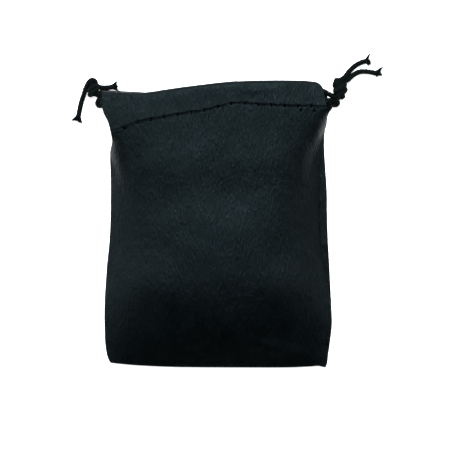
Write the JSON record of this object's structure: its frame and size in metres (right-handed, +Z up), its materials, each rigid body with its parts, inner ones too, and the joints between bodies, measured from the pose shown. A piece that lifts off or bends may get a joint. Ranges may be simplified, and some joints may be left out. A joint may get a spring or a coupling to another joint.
{
  "type": "drawstring gift pouch",
  "caption": "Flat cloth gift pouch with a stitched hem channel and opposed drawcords whose knotted ends pull apart to gather the mouth shut.",
  "frame": {"origin": "on the table, under the middle of the cloth's footprint", "axes": "+X across the pouch to the right drawcord, +Y up towards the mouth, +Z up from the back panel to the front panel"},
  "size_m": [0.1348, 0.1379, 0.0128],
  "materials": {
    "cloth": "black cotton sateen with a fine streaked weave and a soft sheen",
    "cord": "matt black twisted and braided soft cord, frayed at the cut ends",
    "thread": "black polyester sewing thread"
  },
  "bodies": {
    "pouch": {"front_panel": "cloth", "back_panel": "cloth", "front_channel": "cloth", "back_channel": "cloth", "left_seam_allowance": "cloth", "right_seam_allowance": "cloth", "bottom_seam_allowance": "cloth", "left_seam_thread": "thread", "right_seam_thread": "thread", "bottom_seam_thread": "thread", "front_channel_stitching": "thread", "back_channel_stitching": "thread"},
    "left_cord": {"left_drawcord": "cord"},
    "right_cord": {"right_drawcord": "cord"},
    "left_mouth": {"left_bar_tack": "thread"},
    "right_mouth": {"right_bar_tack": "thread"},
    "left_cord_end": {"left_knot": "cord", "left_tail_hanging": "cord", "left_tail_across": "cord"},
    "right_cord_end": {"right_knot": "cord", "right_tail_upper": "cord", "right_tail_lower": "cord"}
  },
  "joints": [
    {"name": "left_cord_pull", "type": "slide", "parent": "pouch", "child": "left_cord", "axis": [-1, 0, 0], "range_m": [0, 0.028], "deforming": ["left_drawcord", "front_channel", "back_channel", "front_channel_stitching", "back_channel_stitching"]},
    {"name": "right_cord_pull", "type": "slide", "parent": "pouch", "child": "right_cord", "axis": [1, 0, 0], "range_m": [0, 0.028], "deforming": ["right_drawcord"]},
    {"name": "left_mouth_gather", "type": "slide", "parent": "pouch", "child": "left_mouth", "axis": [0.9985, 0, 0.0555], "range_m": [0, 0.028]},
    {"name": "right_mouth_gather", "type": "slide", "parent": "pouch", "child": "right_mouth", "axis": [-0.9985, 0, 0.0555], "range_m": [0, 0.028]},
    {"name": "left_knot_swing", "type": "hinge", "parent": "left_cord", "child": "left_cord_end", "pos_m": [-0.0546, 0.0561, 0.0028], "axis": [0, 0, 1], "range_deg": [-5, 30]},
    {"name": "right_knot_swing", "type": "hinge", "parent": "right_cord", "child": "right_cord_end", "pos_m": [0.0544, 0.0547, 0.0028], "axis": [0, 0, 1], "range_deg": [-35, 25]}
  ],
  "couplings": [
    {"joint": "right_cord_pull", "follows": "left_cord_pull", "ratio": 1},
    {"joint": "left_mouth_gather", "follows": "left_cord_pull", "ratio": 1},
    {"joint": "right_mouth_gather", "follows": "left_cord_pull", "ratio": 1}
  ]
}
